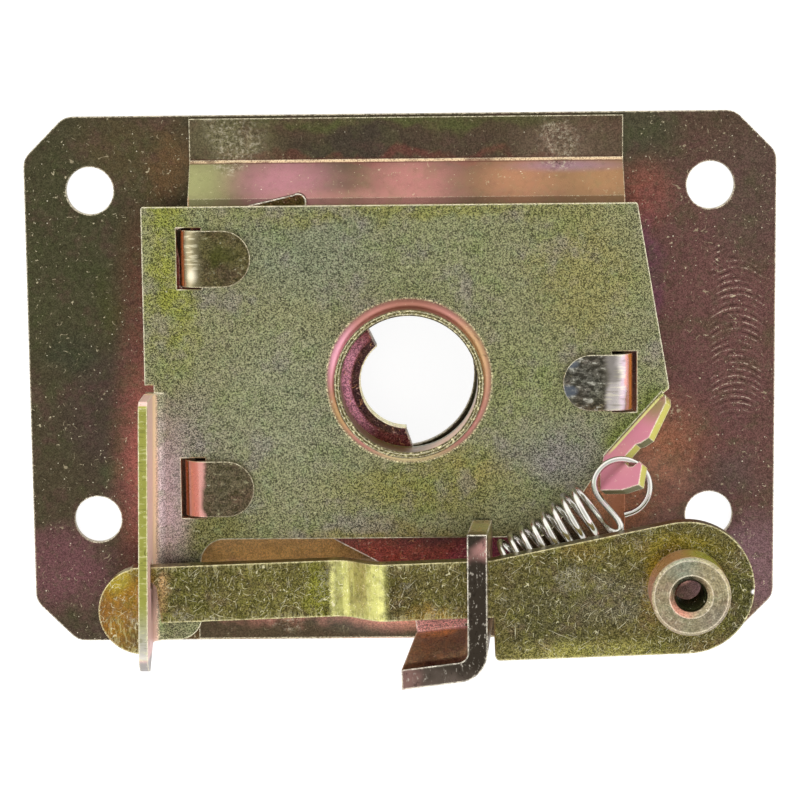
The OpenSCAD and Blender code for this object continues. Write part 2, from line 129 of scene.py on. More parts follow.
class Finish:
    """A metal finish on Object coordinates: colour and height are built up, then joined to the shader."""

    def __init__(self, name, ground):
        self.material = bpy.data.materials.new(name)
        self.material.use_nodes = True
        self.tree = self.material.node_tree
        self.tree.nodes.clear()
        self.place = add(self.tree, "ShaderNodeTexCoord").outputs["Object"]
        self.colour = linear(ground)
        self.height = None
        self.bent = None
        self.hidden = None
        self.warp = self.wobble(size=9, reach=5)

    def math(self, operation, a, b=0.0, clamp=False):
        """A maths node's result."""
        return calculate(self.tree, operation, a, b, clamp)

    def both(self, *masks):
        """1 only where every mask is 1."""
        product = masks[0]
        for mask in masks[1:]:
            product = self.math("MULTIPLY", product, mask)
        return product

    def either(self, a, b):
        """1 where one mask or the other is 1."""
        return self.math("MAXIMUM", a, b)

    def outside(self, mask):
        """1 where a mask is 0."""
        return self.math("SUBTRACT", 1.0, mask)

    def vector(self, operation, a, b):
        """A vector maths node's result, where that is a vector."""
        return add(self.tree, "ShaderNodeVectorMath", {"operation": operation}, {0: a, 1: b}).outputs[0]

    def dot(self, a, b):
        """Dot product of two vectors."""
        node = add(self.tree, "ShaderNodeVectorMath", {"operation": "DOT_PRODUCT"}, {0: a, 1: b})
        return node.outputs["Value"]

    def length(self, a):
        """Length of a vector."""
        return add(self.tree, "ShaderNodeVectorMath", {"operation": "LENGTH"}, {0: a}).outputs["Value"]

    def fit(self, value, low, high, to_low=0.0, to_high=1.0):
        """value from low..high eased to to_low..to_high."""
        return add(self.tree, "ShaderNodeMapRange", {"interpolation_type": "SMOOTHSTEP"}, {
            "Value": value, "From Min": low, "From Max": high, "To Min": to_low, "To Max": to_high,
        }).outputs["Result"]

    def noise(self, size, detail, rough=0.6, place=None, shift=0.0):
        """Noise whose features are about size millimetres across; shift makes it another one."""
        where = self.vector("ADD", place or self.place, (shift * MM,) * 3)
        return add(self.tree, "ShaderNodeTexNoise", None, {
            "Vector": where, "Scale": 1 / (size * MM), "Detail": detail, "Roughness": rough,
        })

    def cloud(self, size, detail, rough=0.6, place=None, shift=0.0):
        """The same noise as one value from 0 to 1."""
        return self.noise(size, detail, rough, place, shift).outputs["Fac"]

    def streaks(self, size, stretch, detail, rough, shift=0.0):
        """Noise drawn out along each axis whose stretch is under 1."""
        return self.cloud(size, detail, rough, self.vector("MULTIPLY", self.place, stretch), shift)

    def wobble(self, size, reach):
        """Places moved about by up to reach millimetres, so that no stain has a ruled edge."""
        offset = self.vector("SUBTRACT", self.noise(size, 3).outputs["Color"], (0.5, 0.5, 0.5))
        offset = self.vector("MULTIPLY", offset, (2 * reach * MM,) * 3)
        return self.vector("ADD", self.place, offset)

    def near(self, centre, radii, core=0.25, place=None):
        """1 at a place in millimetres, 0 from its radii outwards."""
        delta = self.vector("SUBTRACT", place or self.warp, tuple(c * MM for c in centre))
        scaled = self.vector("DIVIDE", delta, tuple(r * MM for r in radii))
        return self.fit(self.length(scaled), core, 1.0, 1.0, 0.0)

    def even(self, centre, radii, core):
        """The same with an even fade, on places that aren't moved about."""
        return self.near(centre, radii, core, self.place)

    def axis(self, index):
        """One coordinate, in millimetres."""
        parts = add(self.tree, "ShaderNodeSeparateXYZ", None, {0: self.place})
        return self.math("MULTIPLY", parts.outputs[index], 1 / MM)

    def from_axis(self, x, y):
        """Distance from an upright axis, all in millimetres."""
        flat = self.vector("MULTIPLY", self.vector("SUBTRACT", self.place, (x * MM, y * MM, 0)), (1, 1, 0))
        return self.math("MULTIPLY", self.length(flat), 1 / MM)

    def lay(self, kind, factor, value):
        """Lays a colour or value over the colour so far."""
        self.colour = add(self.tree, "ShaderNodeMix", {"data_type": "RGBA", "blend_type": kind}, {
            0: factor, 6: self.colour, 7: value,
        }).outputs[2]

    def tint(self, mask, colour, amount):
        """Mixes a colour in by a mask."""
        self.lay("MIX", self.math("MULTIPLY", mask, amount, clamp=True), linear(colour))

    def stains(self, rows):
        """Soft patches of interference colour: centre and radii in millimetres, colour, amount."""
        for centre, radii, colour, amount in rows:
            self.tint(self.near(centre, radii), colour, amount)

    def glows(self, mask, rows, core=0.1):
        """Even patches of colour within a mask: centre and radii in millimetres, colour, amount."""
        for centre, radii, colour, amount in rows:
            self.tint(self.both(mask, self.even(centre, radii, core)), colour, amount)

    def shade(self, value):
        """Multiplies the colour by a value round 1."""
        self.lay("MULTIPLY", 1.0, value)

    def lift(self, value, amount):
        """Adds a value to the height, amount in millimetres."""
        step = self.math("MULTIPLY", value, amount)
        self.height = step if self.height is None else self.math("ADD", self.height, step)

    def mottle(self, size, green, purple, amount):
        """The film's cloudiness: it turns greener here and more purple there."""
        self.tint(self.fit(self.cloud(size, 4, 0.65), 0.5, 0.68), green, amount)
        self.tint(self.fit(self.cloud(size, 4, 0.65, shift=40), 0.5, 0.68), purple, amount)

    def grain(self, size, dark, bright, relief, calm=None):
        """Salt and pepper grain of the skin: dark to bright times its colour, none where calm is 1."""
        cells = add(self.tree, "ShaderNodeTexVoronoi", None, {"Vector": self.place, "Scale": 1 / (size * MM)})
        lot = add(self.tree, "ShaderNodeSeparateXYZ", None, {0: cells.outputs["Color"]}).outputs[0]
        value = self.fit(lot, 0.15, 0.9, dark, bright)
        if calm is not None:
            mix = add(self.tree, "ShaderNodeMix", {"data_type": "FLOAT"}, {0: calm, 2: value, 3: 1.0})
            value = mix.outputs[0]
        self.shade(value)
        self.lift(lot, relief)

    def specks(self, spacing, size, colour, amount, shift=0.0):
        """Dots that catch the light: about one in each spacing, size across, in millimetres."""
        where = self.vector("ADD", self.place, (shift * MM,) * 3)
        dots = add(self.tree, "ShaderNodeTexVoronoi", None, {"Vector": where, "Scale": 1 / (spacing * MM)})
        limit = size / spacing / 2
        self.tint(self.fit(dots.outputs["Distance"], limit * 0.5, limit, 1.0, 0.0), colour, amount)

    def hairlines(self, turn, length, width, colour, amount, share):
        """Fine scratches at an angle in degrees, sizes in millimetres. A higher share leaves fewer."""
        along = add(self.tree, "ShaderNodeMapping", None, {
            "Vector": self.wobble(size=12, reach=1.2), "Rotation": (0, 0, math.radians(turn)),
        }).outputs[0]
        stretched = self.vector("DIVIDE", along, (length, width, width))
        lines = add(self.tree, "ShaderNodeTexNoise", None, {
            "Vector": stretched, "Scale": 1 / MM, "Detail": 1.0, "Roughness": 0.4,
        }).outputs["Fac"]
        self.tint(self.fit(lines, share, share + 0.05), colour, amount)

    def curls(self, size, width, colour, amount, share, shift=0.0):
        """Short curved scratches that curl within a size in millimetres. A higher share leaves fewer."""
        field = self.cloud(size, 1, 0.5, shift=shift)
        off_line = self.math("ABSOLUTE", self.math("SUBTRACT", field, 0.5))
        line = self.fit(off_line, 0.12 * width / size, 0.3 * width / size, 1.0, 0.0)
        patch = self.fit(self.cloud(size * 0.6, 2, 0.6, shift=shift + 7), share, share + 0.05)
        self.tint(self.both(line, patch), colour, amount)

    def band(self, value, low, high, soft):
        """1 where a value lies between low and high, with soft ends."""
        above = self.fit(value, low - soft, low + soft)
        return self.both(above, self.fit(value, high + soft, high - soft))

    def cut_edges(self, colour, amount):
        """The sheared sides of the sheet: paler, with fine marks down them."""
        normal = add(self.tree, "ShaderNodeNewGeometry").outputs["True Normal"]
        up = self.math("ABSOLUTE", add(self.tree, "ShaderNodeSeparateXYZ", None, {0: normal}).outputs[2])
        side = self.fit(up, 0.1, 0.3, 1.0, 0.0)
        marks = self.streaks(0.35, (1, 1, 0.12), 2, 0.7)
        self.tint(self.both(side, self.fit(marks, 0.3, 0.6, 0.35, 1.0)), colour, amount)

    def worn_and_highlit_edges(self, radius, colour, amount, torn, whole=None):
        """Edges are rolled a little by the press; the pale line on them is partly wear, where the film is
        thin, and partly a painted highlight, except where whole is 1. torn is the share of that line that
        shows all along. A finish with a height needs these edges."""
        normal = add(self.tree, "ShaderNodeNewGeometry").outputs["Normal"]
        self.bent = add(self.tree, "ShaderNodeBevel", {"samples": 6}, {"Radius": radius * MM}).outputs[0]
        mask = self.fit(self.dot(normal, self.bent), 0.88, 0.99, 1.0, 0.0)
        broken = self.fit(self.cloud(0.5, 3, 0.75, shift=20), 0.42, 0.54, torn, 1.0)
        mask = self.both(mask, broken)
        if whole is not None:
            mask = self.both(mask, self.outside(whole))
        self.tint(mask, colour, amount)

    def dull(self, mask):
        """Makes the metal less shiny where a mask is 1, so that shaded places deep in the lock take more
        diffuse light and look lighter.
        """
        self.hidden = mask if self.hidden is None else self.either(self.hidden, mask)

    def close(self, smooth, rough):
        """Joins all to a bare metal shader; roughness wanders between smooth and rough."""
        wander = self.fit(self.cloud(3.0, 4, 0.7, shift=60), 0.3, 0.7, smooth, rough)
        shader = add(self.tree, "ShaderNodeBsdfPrincipled", None, {
            "Base Color": self.colour, "Metallic": 1.0, "Roughness": wander,
        })
        if self.hidden is not None:
            metal = self.outside(self.math("MULTIPLY", self.hidden, DULLED))
            self.tree.links.new(metal, shader.inputs["Metallic"])
        if self.height is not None:
            bump = add(self.tree, "ShaderNodeBump", None, {
                "Height": self.height, "Strength": 1.0, "Distance": MM, "Normal": self.bent,
            })
            self.tree.links.new(bump.outputs[0], shader.inputs["Normal"])
        output = add(self.tree, "ShaderNodeOutputMaterial")
        self.tree.links.new(shader.outputs[0], output.inputs["Surface"])
        return self.material


def base_plate_finish():
    """Zinc plate passivated yellow on hot rolled sheet: dark and glossy, from olive to purple."""
    f = Finish("zinc_plated_hot_rolled_sheet", "4C4433")
    f.stains([
        ((-56, 22, 1), (18, 34, 40), "464630", 0.8), ((-50, -6, 1), (12, 18, 40), "4C3F38", 0.8),
        ((-46, 38, 1), (10, 9, 40), "584C35", 0.8), ((-38, 36, 1), (5, 9, 40), "6A5238", 0.8),
        ((-60, -33, 1), (18, 9, 40), "704C4E", 0.9), ((-52, -45, 1), (22, 6, 40), "52423A", 0.8),
        ((50, 0, 1), (34, 60, 40), "6B4B46", 1.0), ((38, 40, 1), (12, 8, 40), "4C4A38", 0.9),
        ((60, 30, 1), (12, 16, 40), "5E4C43", 0.8), ((58, -34, 1), (12, 12, 40), "85666A", 0.8),
        ((54, -18, 1), (10, 6, 40), "60504A", 0.7), ((41, 18, 1), (3.5, 18, 9), "7A4660", 0.5),
        ((60, -46, 1), (14, 8, 40), "8A6E58", 0.6), ((-12, -45, 1), (34, 5, 40), "86602F", 0.9),
        ((-50, -16, 1), (4, 3, 40), "4A5A38", 0.4), ((-56, 4, 1), (7, 5, 40), "3C4030", 0.6),
        # The pale orange patch at (-4, -45), below the latch's tail, is painted light
        ((-50, 12, 1), (3, 9, 40), "4A4A2C", 0.6), ((-4, -45, 1), (12, 4, 40), "D08A70", 0.9),
    ])
    # The back has stains of its own, and the front has warm glows beside the cover; the two at the right,
    # under the spring and the side tab, are painted light in shade
    front = f.fit(f.axis(2), PLATE_TOP - 0.8, PLATE_TOP - 0.4)
    back = f.outside(front)
    for centre, radii, colour in (
        ((-34, 12, 0), (26, 22, 9), "6E4E46"), ((26, -22, 0), (30, 16, 9), "4A5232"),
        ((20, 30, 0), (26, 10, 9), "6A4658"),
    ):
        f.tint(f.both(back, f.near(centre, radii)), colour, 0.8)
    f.glows(front, [
        ((-43, -16, 1), (8, 34, 40), "B2665C", 0.9), ((-43, 14, 1), (7, 22, 40), "6E443A", 0.7),
        ((41, 30, 1), (7, 8, 40), "92584A", 0.8), ((43, -14, 1), (13, 15, 40), "A06A4E", 0.85),
        ((36, -22, 1), (9, 9, 40), "B4734C", 0.9),
    ], 0.0)
    # Less shine where the ground lies in shade, under the spring and below the latch's tail, so that it looks
    # lighter
    f.dull(f.even((40, -21, 1), (13, 10, 20), 0.5))
    f.dull(f.even((-6, -44, 1), (14, 6, 20), 0.5))
    # The ground that shows through the bush is painted pale pink and made less shiny: painted light that
    # lightens the shade in the bush
    bush_ground_painted_light = f.both(front, f.even((*BUSH_AXIS, 1), (5, 5, 3), 0.7))
    f.tint(bush_ground_painted_light, "FFBEAC", 1.0)
    f.dull(bush_ground_painted_light)
    f.mottle(5, "48502F", "684646", 0.3)
    f.mottle(1.3, "645E48", "342A22", 0.32)
    f.grain(0.15, dark=0.7, bright=1.35, relief=0.002)
    f.specks(1.0, 0.13, "D8CBA0", 0.6)
    f.specks(3.1, 0.28, "F2E8CC", 0.85, shift=31)
    f.specks(1.7, 0.22, "F0E6C8", 0.9, shift=57)
    f.specks(0.9, 0.16, "201B14", 0.5, shift=13)
    f.curls(2.6, 0.09, "B8AA8A", 0.6, share=0.6)
    f.curls(1.4, 0.09, "DDD0AC", 0.65, share=0.62, shift=11)
    # Shallow arcs left by a press tool, stacked in a column at the right
    column_x, bow, pitch = 56.5, 0.09, 1.15
    across = f.math("SUBTRACT", f.axis(0), column_x)
    bowed = f.math("ADD", f.axis(1), f.math("MULTIPLY", f.math("MULTIPLY", across, across), bow))
    wave = f.math("SINE", f.math("MULTIPLY", bowed, 2 * math.pi / pitch))
    column = f.fit(f.math("ABSOLUTE", across), 3.4, 4.8, 1.0, 0.0)
    column = f.both(column, front, f.near((column_x, 7, 1), (9, 16, 20), 0.8))
    patchy = f.fit(f.cloud(1.8, 3, shift=3), 0.44, 0.6, 0.12, 1.0)
    dotted = f.fit(f.cloud(0.3, 2, 0.7, shift=23), 0.46, 0.58, 0.0, 1.0)
    arcs = f.both(f.fit(wave, 0.7, 0.97), column, patchy)
    f.tint(f.both(arcs, dotted), "CDB8A4", 0.8)
    f.tint(f.both(f.fit(wave, -0.6, -0.97), column, patchy), "33211F", 0.6)
    f.lift(arcs, -0.03)
    f.cut_edges("B9AC8C", 0.75)
    f.worn_and_highlit_edges(0.4, "E4D8BC", 0.95, torn=0.2)
    return f.close(smooth=0.3, rough=0.4)


def bracket_finish():
    """Zinc plate passivated yellow on pressed sheet: dark olive flange, slanted wall from pink to orange."""
    f = Finish("zinc_plated_pressed_sheet", "544736")
    x, y, z = f.axis(0), f.axis(1), f.axis(2)
    wall_y, bend_y = 29.0, 36.15
    f.stains([
        ((-28, 39, 3), (12, 7, 3), "6E684C", 0.9), ((-8, 39, 3), (16, 5, 3), "463E34", 0.9),
        ((10, 38, 3), (16, 7, 3), "524338", 0.8), ((28, 39, 3), (12, 7, 3), "705E4E", 0.9),
        ((0, 43, 3), (40, 2.2, 3), "565A34", 0.8), ((0, 36.8, 3), (40, 1.4, 2), "6E4038", 0.6),
        # The pale patches at (-22, -29), (-20, -38) and (32, -20) are painted light on shaded parts of the
        # web and lower wall
        ((-22, -29, 8.5), (24, 7, 14), "C99A5C", 1.0), ((-20, -38, 5), (22, 8, 5), "D89080", 1.0),
        ((5, -38, 5), (14, 8, 5), "B08A5C", 0.9), ((25, -38, 5), (14, 8, 5), "B0705A", 0.8),
        ((32, -20, 8), (8, 9, 3), "C07E58", 1.0),
        ((-30, 21, 14.7), (9, 9, 2.4), "5A5434", 1.0), ((-30, -17, 14.7), (9, 9, 2.4), "5C5440", 1.0),
        ((30, 0, 14.7), (9, 9, 2.4), "66645A", 1.0),
    ])
    # The slanted wall keeps even interference colours from one side to the other
    wall = f.both(f.fit(y, wall_y - 0.5, wall_y + 0.5), f.fit(y, bend_y + 0.25, bend_y - 0.35))
    f.glows(wall, [
        ((-35, 33, 6), (13, 9, 9), "85845A", 1.0), ((-19, 33, 6), (13, 9, 9), "96686C", 1.0),
        ((2, 33, 6), (13, 9, 9), "986760", 1.0), ((20, 33, 6), (13, 9, 9), "92694F", 1.0),
        ((34, 33, 6), (13, 9, 9), "8A684A", 1.0), ((-6, 30, 8), (24, 3, 3), "A8766C", 0.5),
        ((28, 35, 4), (14, 1.5, 3), "82688A", 0.4),
    ])
    # Less shine on the shaded web, under the spring and beside the latch's tail, so that they look lighter
    f.dull(f.even((-15, -29, 8), (36, 6, 3), 0.8))
    f.dull(f.even((32, -20, 8), (9, 10, 4), 0.5))
    f.dull(f.even((-6, -40, 4), (14, 6, 5), 0.5))
    # A strip beside the latch's tail catches the light
    lit_strip = f.even((-1, -40, 3), (12, 5, 4), 0.3)
    f.tint(lit_strip, "F2A48C", 1.0)
    f.dull(lit_strip)
    f.mottle(4, "66693F", "7E5750", 0.16)
    f.mottle(1.4, "6E6A4E", "3C3428", 0.14)
    f.grain(0.15, dark=0.7, bright=1.35, relief=0.002, calm=wall)
    f.specks(1.2, 0.15, "E0D4AE", 0.65)
    f.specks(3.3, 0.26, "F0E6CC", 0.6, shift=31)
    f.curls(2.4, 0.09, "B5AA86", 0.4, share=0.62)
    f.curls(1.3, 0.08, "D2C7A2", 0.4, share=0.64, shift=11)
    # The clinch tabs are pressed: bands of colour follow their roll, partly their film's colours and partly
    # painted reflections, the palest a painted highlight, and one carries the punch's marks
    pressed = f.fit(z, COVER_TOP + 0.1, COVER_TOP + 0.3)
    top_tab = f.both(pressed, f.even((-31, 21, 14), (9, 7, 6), 0.9))
    low_tab = f.both(pressed, f.even((-31, -17, 14), (9, 7, 6), 0.9))
    side_tab = f.both(pressed, f.even((33, 0, 14), (9, 7, 6), 0.9))
    waver = f.math("ADD", x, f.fit(f.cloud(3.5, 2, 0.5, shift=4), 0.3, 0.7, -0.35, 0.35))
    for tab, low, high, soft, colour, amount in (
        (top_tab, -36.5, -32.6, 0.9, "7E765A", 1.0), (top_tab, -35.0, -34.0, 0.4, "9C9072", 0.8),
        (top_tab, -37, -35.3, 0.25, "A2623E", 1.0), (low_tab, -36.5, -32.8, 0.5, "DCA096", 1.0),
        (low_tab, -37, -35.5, 0.2, "B07C34", 1.0), (side_tab, 34.0, 37.2, 0.7, "BAB2AE", 1.0),
        (side_tab, 36.3, 36.9, 0.3, "BBA6B2", 0.9), (side_tab, 36.9, 37.7, 0.2, "D0948E", 1.0),
        (side_tab, 37.6, 39, 0.12, "D88638", 1.0),
    ):
        f.tint(f.both(tab, f.band(waver, low, high, soft)), colour, amount)
    # Pale streaks along the rolls are painted highlights, with darker streaks between
    lines = f.streaks(0.6, (0.12, 1, 0.12), 2, 0.6, shift=6)
    on_roll = f.either(f.both(top_tab, f.band(x, -36, -33, 0.3)), f.both(side_tab, f.band(x, 33.5, 37, 0.3)))
    f.tint(f.both(on_roll, f.fit(lines, 0.56, 0.6)), "E8E0C0", 0.35)
    f.tint(f.both(on_roll, f.fit(lines, 0.42, 0.36)), "6C6448", 0.4)
    # Their roots, deep in the cover's slots, are painted orange and made less shiny: painted light in the
    # slots' shade
    tab_roots_painted_light = f.either(f.fit(x, -34.6, -35.2), f.fit(x, 37.0, 37.6))
    tab_roots_painted_light = f.both(tab_roots_painted_light, f.fit(z, 7.5, 8.4))
    f.tint(f.both(tab_roots_painted_light, f.fit(z, COVER_TOP + 0.2, COVER_TOP - 0.2)), "B4683C", 1.0)
    f.tint(f.both(tab_roots_painted_light, f.fit(x, 37.5, 37.8)), "D88A40", 0.8)
    f.dull(tab_roots_painted_light)
    # The upper tab has a painted highlight on its roll, and the tabs' flats are darker and chipped
    f.tint(f.both(top_tab, f.even((-34.0, 18.2, 14.5), (1.3, 1.8, 3), 0.1)), "F6ECD0", 0.6)
    f.tint(f.both(side_tab, f.near((34, 4, 15), (3, 4.5, 4), 0.5)), "5E5A50", 0.6)
    f.tint(f.both(top_tab, f.near((-30, 21.5, 15), (3, 3, 4), 0.3)), "45481F", 0.7)
    struck = f.streaks(0.9, (0.6, 1, 1), 4, 0.75, shift=52)
    flat_end = f.both(side_tab, f.fit(x, 34.2, 33.0))
    f.tint(f.both(flat_end, f.fit(struck, 0.5, 0.44)), "2C2A22", 0.8)
    f.tint(f.both(flat_end, f.fit(struck, 0.57, 0.61)), "B9B6A8", 0.85)
    for centre, radii in (((27.4, -1.4, 15), (2.2, 1.3, 3)), ((27.4, 3.1, 15), (2.4, 1.1, 3))):
        dent = f.both(flat_end, f.even(centre, radii, 0.5))
        f.tint(dent, "5C6470", 0.7)
        f.lift(dent, -0.06)
    other_flats = f.both(f.either(top_tab, low_tab), f.fit(x, -33.2, -32.2))
    f.tint(f.both(other_flats, f.fit(struck, 0.47, 0.4)), "37361E", 0.6)
    f.tint(f.both(other_flats, f.fit(struck, 0.6, 0.66)), "B4B08A", 0.5)
    f.grain(0.15, dark=0.75, bright=1.3, relief=0.001, calm=f.outside(other_flats))
    chips = f.cloud(0.7, 3, 0.7, shift=14)
    f.tint(f.both(pressed, f.fit(chips, 0.66, 0.7)), "C9C7AC", 0.6)
    # Spot welds: rough patches, with splashes round them
    welds = ((-27.2, 39.4, 6.5), (27, 39.4, 5.5), (-20, -40.8, 4.6), (27, -40.8, 4.6))
    weld = reduce(f.either, [f.near((weld_x, weld_y, 3), (r, r, 3), 0.5) for weld_x, weld_y, r in welds])
    crust = f.cloud(0.7, 5, 0.8, shift=9)
    f.tint(f.both(weld, f.fit(crust, 0.5, 0.62)), "B0A690", 0.7)
    f.tint(f.both(weld, f.fit(crust, 0.46, 0.36)), "302B22", 0.7)
    f.lift(f.both(weld, crust), 0.12)
    # The die has scuffed the outside of the bend between flange and wall, in short teeth over a dark red line
    bend_off = f.math("ABSOLUTE", f.math("SUBTRACT", y, bend_y))
    f.tint(f.fit(bend_off, 0.3, 0.5, 1.0, 0.0), "4A2420", 0.7)
    teeth = f.streaks(0.2, (1, 0.3, 1), 2, 0.8, shift=2)
    faded = f.fit(f.cloud(5, 2, shift=33), 0.36, 0.5, 0.3, 1.0)
    rubbed = f.both(f.fit(bend_off, 0.14, 0.32, 1.0, 0.0), f.fit(teeth, 0.42, 0.5, 0.25, 1.0), faded)
    f.tint(rubbed, "D8BE98", 0.85)
    f.cut_edges("B0A67E", 0.5)
    # Painted light: in shade beside the bracket's right edge, under the spring, the colour is a lighter
    # orange-brown, and the edges there have no pale line
    in_shade = f.even((37.3, -20, 7), (3, 12, 5), 0.7)
    f.tint(in_shade, "A86C4C", 0.9)
    f.worn_and_highlit_edges(0.35, "E6DCBC", 0.9, torn=0.3, whole=in_shade)
    return f.close(smooth=0.22, rough=0.34)


def cover_finish():
    """Zinc plate passivated yellow on skin-passed sheet: satin green-gold, with a salt and pepper grain."""
    f = Finish("zinc_plated_skin_passed_sheet", "82815F")
    z = f.axis(2)
    f.stains([
        ((-38, 20, 13), (6, 26, 9), "848636", 0.85), ((-14, 22, 13), (20, 12, 9), "7A7E66", 0.8),
        ((8, 20, 13), (16, 14, 9), "828460", 0.8), ((30, 18, 13), (12, 18, 9), "868050", 0.8),
        ((-18, -4, 13), (18, 18, 9), "86886C", 0.7), ((20, -2, 13), (12, 14, 9), "7E8256", 0.7),
        ((26, -12, 13), (12, 9, 9), "7B7870", 0.8), ((4, -18, 13), (20, 7, 9), "7C783E", 0.8),
        ((-32, -24, 13), (12, 7, 9), "6E6A3C", 0.8), ((0, -26, 13), (26, 3, 9), "86763E", 0.6),
        ((38, -5, 13), (6, 7, 9), "807F58", 0.7), ((12, -14, 13), (9, 5, 9), "887E48", 0.7),
        ((0, 28.5, 13), (42, 2.5, 9), "7E7C3C", 0.6),
    ])
    glow = f.even((-39, -19, 13.5), (5.5, 22, 5), 0.1)
    f.tint(glow, "BEA2A6", 0.85)
    f.tint(f.even((-34, -10, 13), (8, 14, 9), 0.1), "8E8280", 0.5)
    f.mottle(7, "6E7C46", "84787C", 0.4)
    f.mottle(2.6, "6F7F60", "8A7E72", 0.25)
    f.cut_edges("CFC67E", 0.8)
    # Round the collar's axis: its outer slope, its torn rim and its bore
    away = f.from_axis(*COLLAR_AXIS)
    outside_r = f.fit(away, COLLAR_FOOT_R + 0.45, COLLAR_FOOT_R - 0.15)
    slope = f.both(outside_r, f.fit(z, COVER_TOP - 0.1, COVER_TOP + 0.05))
    f.tint(slope, "A8746A", 1.0)
    f.glows(slope, [
        ((-10, 5, 15), (6, 8, 9), "D79AAA", 0.9), ((2, 14, 15), (10, 4, 9), "8E6050", 0.9),
        ((12, 4, 15), (6, 11, 9), "B5966A", 0.9), ((2, -13, 15), (11, 5, 9), "C4BA88", 0.9),
        ((-11, -6, 15), (5, 7, 9), "A88C5C", 0.9),
    ])
    foot = f.band(away, COLLAR_FOOT_R + 0.1, COLLAR_FOOT_R + 0.4, 0.1)
    foot = f.both(foot, f.fit(z, COVER_TOP - 0.1, COVER_TOP))
    dots = f.cloud(0.35, 2, 0.8, shift=41)
    f.tint(f.both(foot, f.fit(dots, 0.46, 0.54)), "E4DCB0", 0.7)
    torn = f.cloud(0.45, 3, 0.8, shift=25)
    rim = f.fit(away, COLLAR_R + 0.25, COLLAR_R + 0.05)
    rim = f.both(rim, f.fit(z, COLLAR_TOP - 0.45, COLLAR_TOP - 0.25))
    f.tint(rim, "625A34", 1.0)
    f.tint(f.both(rim, f.fit(torn, 0.55, 0.6)), "E2DAA8", 0.9)
    f.tint(f.both(rim, f.fit(torn, 0.46, 0.4)), "241F12", 0.9)
    bore = f.fit(away, COLLAR_BORE_R + 0.2, COLLAR_BORE_R + 0.05)
    bore = f.both(bore, f.fit(z, COLLAR_TOP - 0.3, COLLAR_TOP - 0.5))
    f.tint(bore, "6B5638", 1.0)
    f.tint(f.both(bore, f.near((9, -8, 14), (9, 11, 9))), "E4B898", 0.9)
    f.tint(f.both(bore, f.fit(z, COVER_TOP + 0.2, COVER_TOP - 0.6)), "6A6A2C", 0.9)
    f.dull(bore)
    # The slots' walls glow orange from the tabs that fill them
    under_top = f.fit(z, COVER_TOP - 0.05, COVER_TOP - 0.2)
    cut = f.both(under_top, f.fit(z, COVER_UNDER - 0.1, COVER_UNDER + 0.1))
    for centre in ((-35, 20.9, 12.5), (-35, -17.3, 12.5), (37, 0, 12.5)):
        f.tint(f.both(cut, f.even(centre, (4, 6.5, 4), 0.8)), "C8783C", 0.9)
    # The ear: cream and pink inside, green-gold on its cut edge, grey at its lower end, partly worn and
    # partly a painted highlight on its rounding
    y, ear_x = f.axis(1), -40.0
    left = f.fit(f.axis(0), ear_x, ear_x - 0.5)
    inside = f.both(left, f.fit(z, COVER_TOP + 0.2, COVER_TOP + 1.2))
    f.tint(inside, "E2BCAE", 1.0)
    f.tint(f.both(inside, f.band(z, COVER_TOP + 0.4, COVER_TOP + 2.4, 0.6)), "F0CFA4", 0.9)
    f.tint(f.both(inside, f.fit(y, -24, -36)), "D9A8A6", 0.7)
    f.tint(f.both(left, f.fit(y, -43.6, -44.8)), "8C8884", 0.95)
    edge = f.both(f.fit(z, EAR_TOP - 0.5, EAR_TOP - 0.25), left)
    f.tint(edge, "9A9A4C", 1.0)
    f.tint(f.both(edge, f.fit(y, -34, -44)), "C2BDB8", 0.9)
    shears = f.streaks(0.4, (0.2, 1, 1), 2, 0.6, shift=8)
    f.tint(f.both(edge, f.fit(shears, 0.56, 0.66)), "6C6A38", 0.45)
    f.tint(f.both(edge, f.fit(shears, 0.42, 0.36)), "D8D49A", 0.5)
    # The spring tab: pink on its face, yellow-green on its sheared end, with painted shade under its tip
    tab = f.both(f.even((40, -12, 17), (13, 11, 9), 0.85), f.fit(z, COVER_TOP + 0.1, COVER_TOP + 0.4))
    normal = add(f.tree, "ShaderNodeNewGeometry").outputs["True Normal"]

    def facing(direction, low, high):
        """1 on the tab's faces that look in a direction."""
        return f.both(tab, f.fit(f.dot(normal, direction), low, high))

    f.tint(tab, "C67C8C", 1.0)
    f.glows(tab, [((42.5, -4, 14), (5, 5, 5), "8E7A54", 1.0), ((37, -13, 15), (3, 5, 6), "CC8A88", 0.6)])
    f.tint(facing((0.424, -0.386, 0.819), 0.35, 0.6), "B4AC4E", 1.0)
    f.tint(facing((0.0, -0.9, 0.3), 0.55, 0.75), "625E38", 1.0)
    # Its fold: a painted highlight along it, with painted shade, dark and green, on the cover beside it
    fold_at, across_fold = (34.8 * MM, -11.4 * MM, 0), (0.742, -0.67, 0)
    off_fold = f.math("MULTIPLY", f.dot(f.vector("SUBTRACT", f.place, fold_at), across_fold), 1 / MM)
    by_fold = f.even((39, -6.7, 13), (8, 8, 5), 0.7)
    beside = f.both(f.fit(off_fold, -4.5, -0.4), f.fit(off_fold, -0.1, -0.3))
    f.tint(f.both(by_fold, beside), "5C6826", 0.75)
    f.tint(f.both(by_fold, f.band(off_fold, -0.15, 0.15, 0.06)), "DCDC8C", 0.9)
    f.dull(tab)
    f.dull(f.both(inside, f.fit(z, EAR_TOP - 0.3, EAR_TOP - 0.5)))
    # The grain is pressed flat on the tab, the collar's slope and the ear
    calm = f.either(f.either(tab, slope), f.either(inside, f.math("MULTIPLY", glow, 0.4)))
    f.grain(0.135, dark=0.28, bright=1.74, relief=0.005, calm=calm)
    f.specks(2.4, 0.22, "2C2A1A", 0.6)
    f.curls(1.2, 0.08, "E0DEB8", 0.45, share=0.6)
    f.curls(3.5, 0.1, "34321F", 0.45, share=0.6, shift=17)
    f.worn_and_highlit_edges(0.42, "F2E8CC", 1.0, torn=0.45)
    return f.close(smooth=0.34, rough=0.46)


